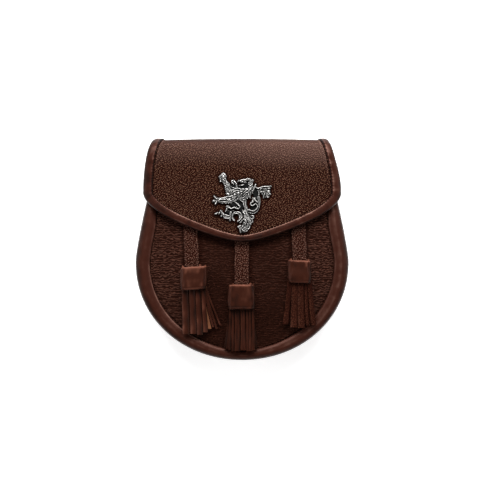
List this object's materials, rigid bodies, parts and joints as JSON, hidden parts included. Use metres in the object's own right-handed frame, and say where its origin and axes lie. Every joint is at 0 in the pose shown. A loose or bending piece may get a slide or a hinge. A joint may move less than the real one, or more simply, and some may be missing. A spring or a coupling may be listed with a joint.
{
  "type": "sporran pouch",
  "caption": "Flat-backed leather day sporran with a folded flap, rolled edges, hanging strip tassels and a cast lion badge.",
  "frame": {"origin": "On the surface that the pouch lies on, under the middle of its outline.", "axes": "Lying on its back: +X to the viewer's right as seen from the front, +Y up to the flap's fold, +Z out of the front."},
  "size_m": [0.1808, 0.1882, 0.0409],
  "materials": {
    "grained_leather": "pebble-grained brown hide, semi-matte",
    "smooth_leather": "smooth red-brown hide, rolled and polished by handling",
    "plain_leather": "plain brown hide, matte",
    "antique_pewter": "cast alloy with darkened recesses and bright high points",
    "nickel": "nickel-plated, polished"
  },
  "bodies": {
    "root": {"back_panel": "plain_leather", "gusset": "plain_leather", "front_panel": "grained_leather", "front_binding": "smooth_leather", "flap": "grained_leather", "flap_binding": "smooth_leather", "badge": "antique_pewter", "hanger_left": "grained_leather", "hanger_centre": "grained_leather", "hanger_right": "grained_leather", "tassel_left": "smooth_leather", "tassel_centre": "smooth_leather", "tassel_right": "smooth_leather", "snap_stud": "nickel", "ring_tab_left": "plain_leather", "ring_tab_right": "plain_leather", "d_ring_left": "nickel", "d_ring_right": "nickel"}
  },
  "joints": []
}
